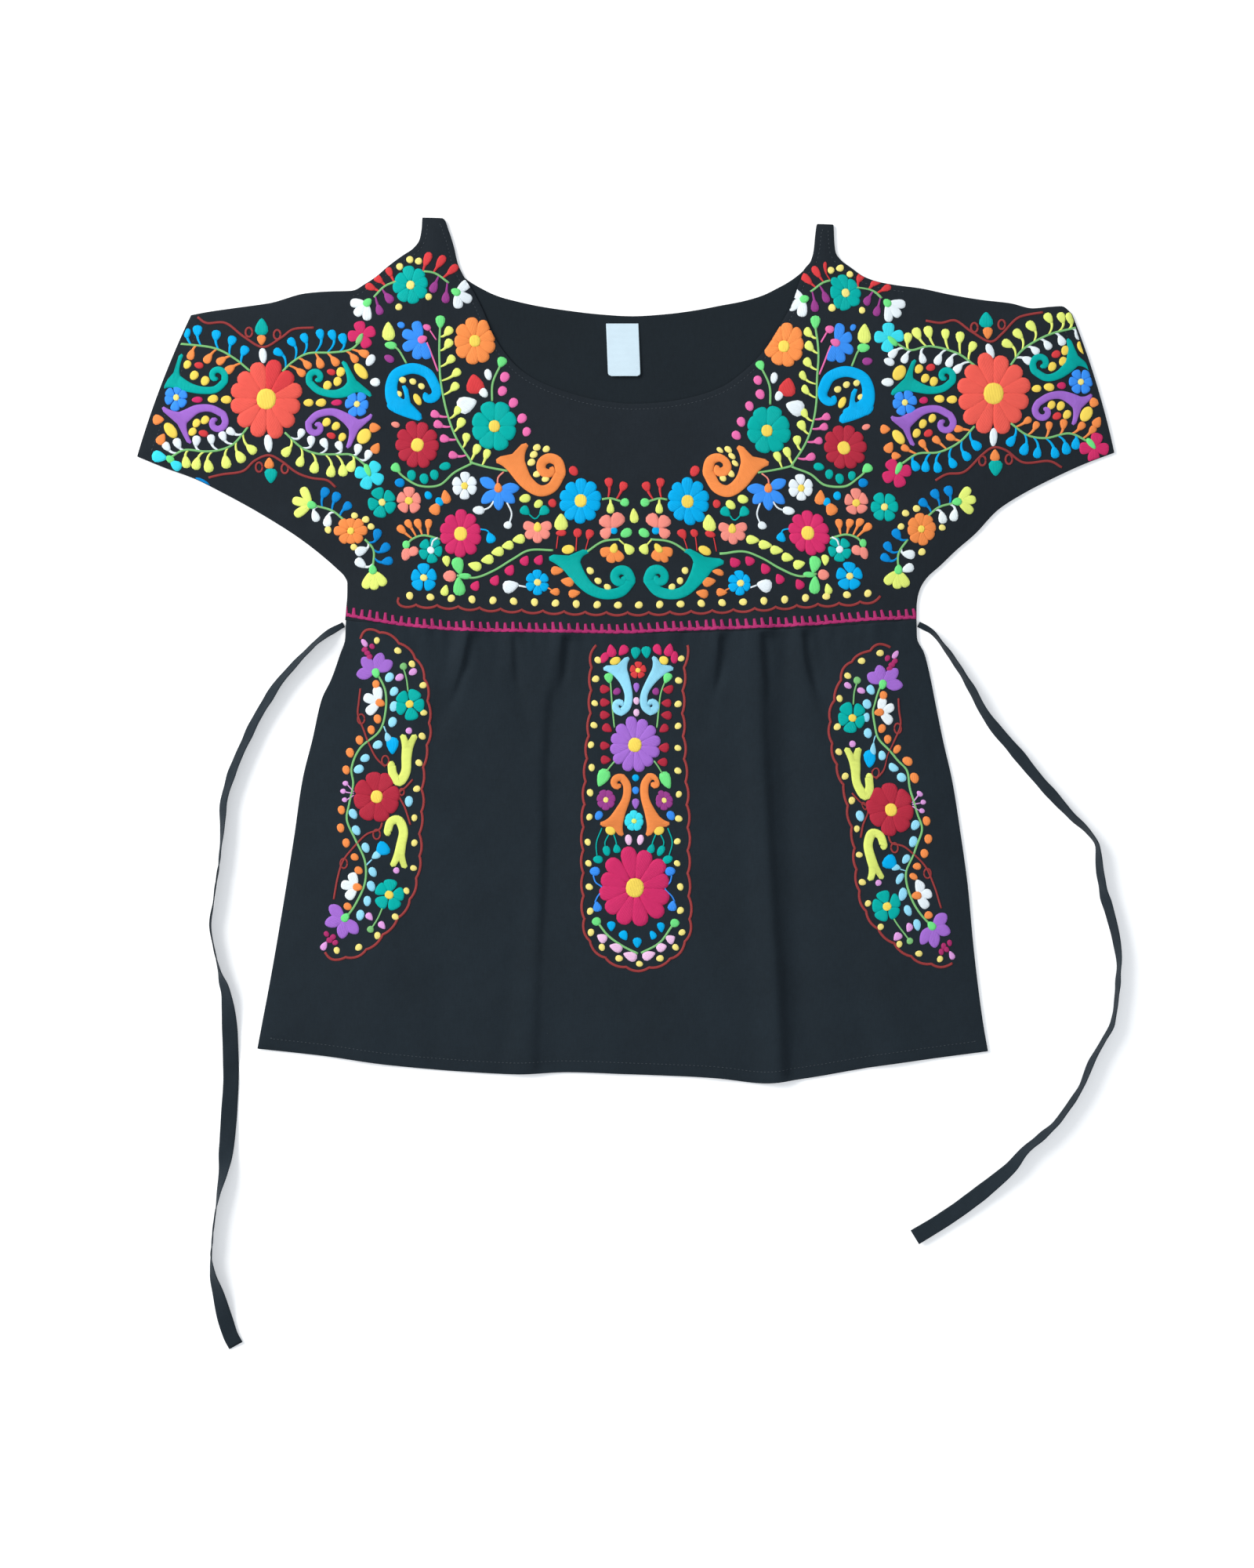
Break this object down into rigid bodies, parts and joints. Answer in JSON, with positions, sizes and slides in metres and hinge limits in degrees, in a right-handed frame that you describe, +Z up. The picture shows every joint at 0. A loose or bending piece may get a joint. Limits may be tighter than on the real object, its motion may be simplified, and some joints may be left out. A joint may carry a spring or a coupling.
{
  "type": "cold shoulder blouse",
  "caption": "Short-sleeved embroidered peplum blouse with open shoulders, narrow straps and waist ties, laid flat with its front up.",
  "frame": {"origin": "on the surface that the blouse lies on, at the middle of its outline without the ties", "axes": "+X along the sleeves towards the sleeve on the viewer's right, +Y from hem to neck, +Z up out of the surface, towards the viewer"},
  "size_m": [0.7656, 0.8813, 0.0125],
  "materials": {
    "cotton": "black plain-weave cotton, matt, with satin-stitch embroidery in stranded thread",
    "tie_cotton": "black plain-weave cotton, turned and pressed flat",
    "label_tape": "white woven tape, slightly shiny, blank"
  },
  "bodies": {
    "root": {"front_yoke": "cotton", "back_yoke": "cotton", "front_skirt": "cotton", "back_skirt": "cotton", "left_tie": "tie_cotton", "right_tie": "tie_cotton", "neck_label": "label_tape"}
  },
  "joints": []
}
